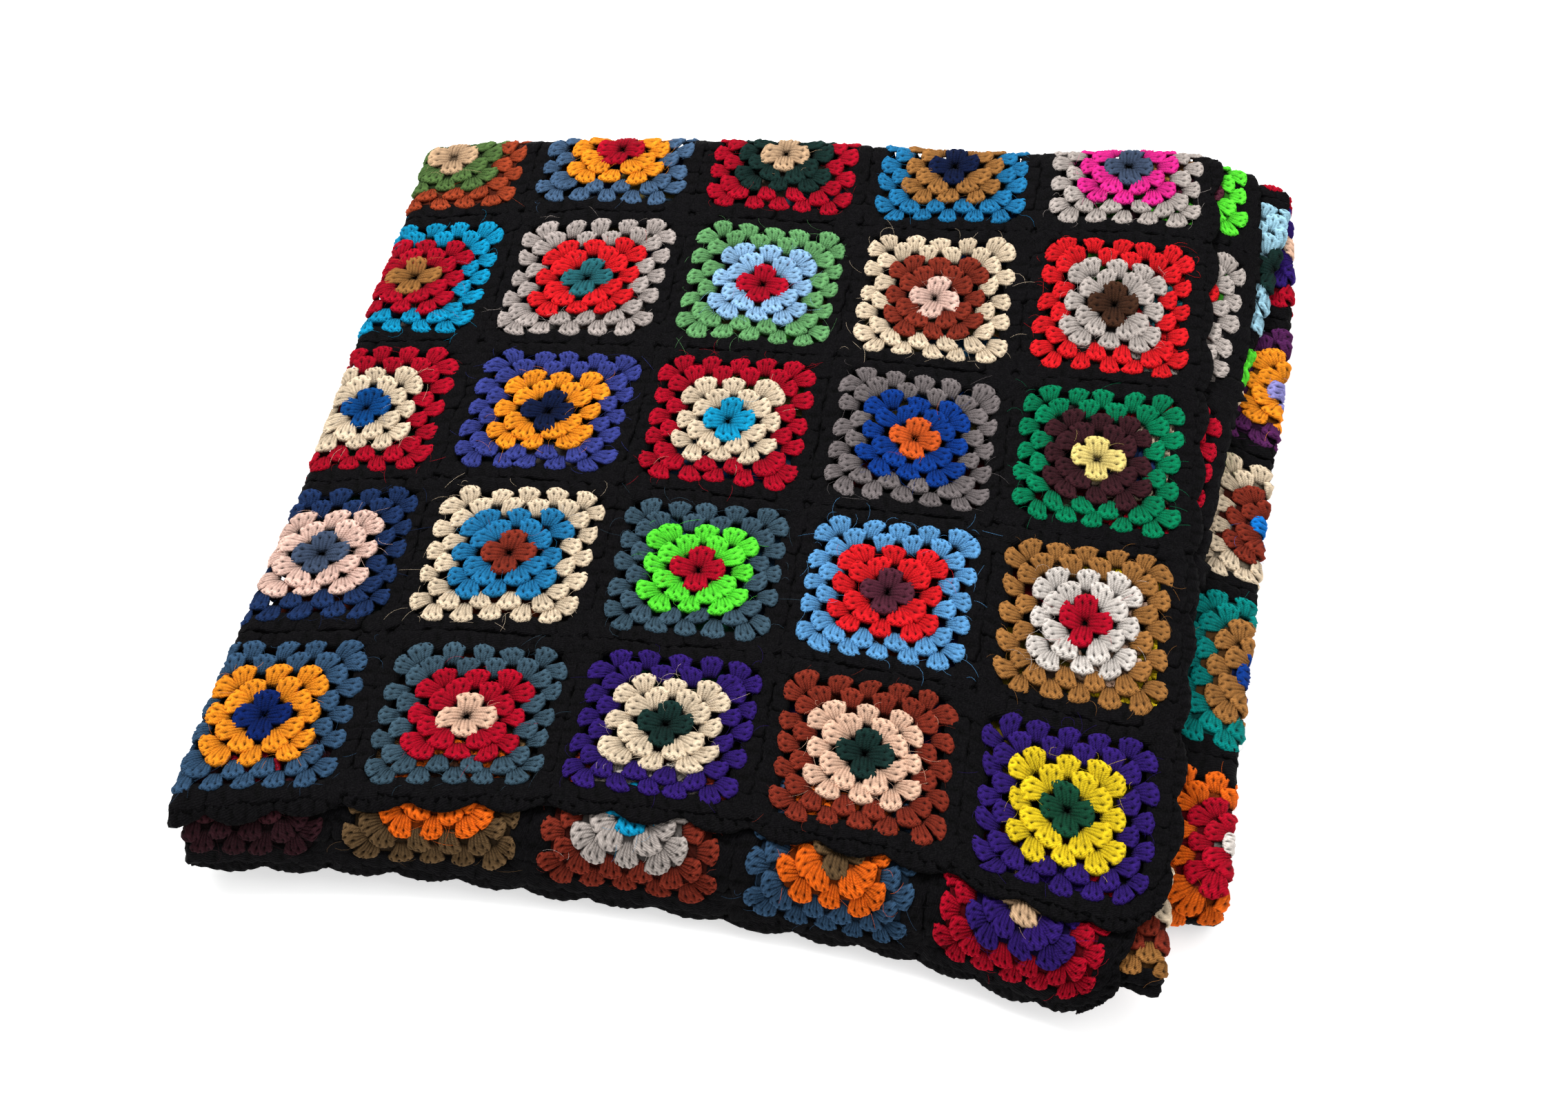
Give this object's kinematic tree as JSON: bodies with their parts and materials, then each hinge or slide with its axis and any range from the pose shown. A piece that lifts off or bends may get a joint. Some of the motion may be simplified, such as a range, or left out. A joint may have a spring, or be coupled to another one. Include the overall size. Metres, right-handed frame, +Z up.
{
  "type": "granny square blanket",
  "caption": "Crocheted granny square blanket in many colours with black joining rows and a scalloped hem, lying folded into a soft rectangular pile whose front hems drape to the surface.",
  "frame": {"origin": "middle of the pile's bounding box in X and Y, on the surface that the pile lies on", "axes": "+Z up through the layers; -Y the front, where the two draped hems show; +X the side of the top bundle's open hem"},
  "size_m": [0.6476, 0.635, 0.0623],
  "materials": {
    "wool": "matt, slightly fuzzy crocheted wool yarn; black is the joining colour, the squares are in many colours"
  },
  "bodies": {
    "root": {"blanket": "wool"}
  },
  "joints": []
}
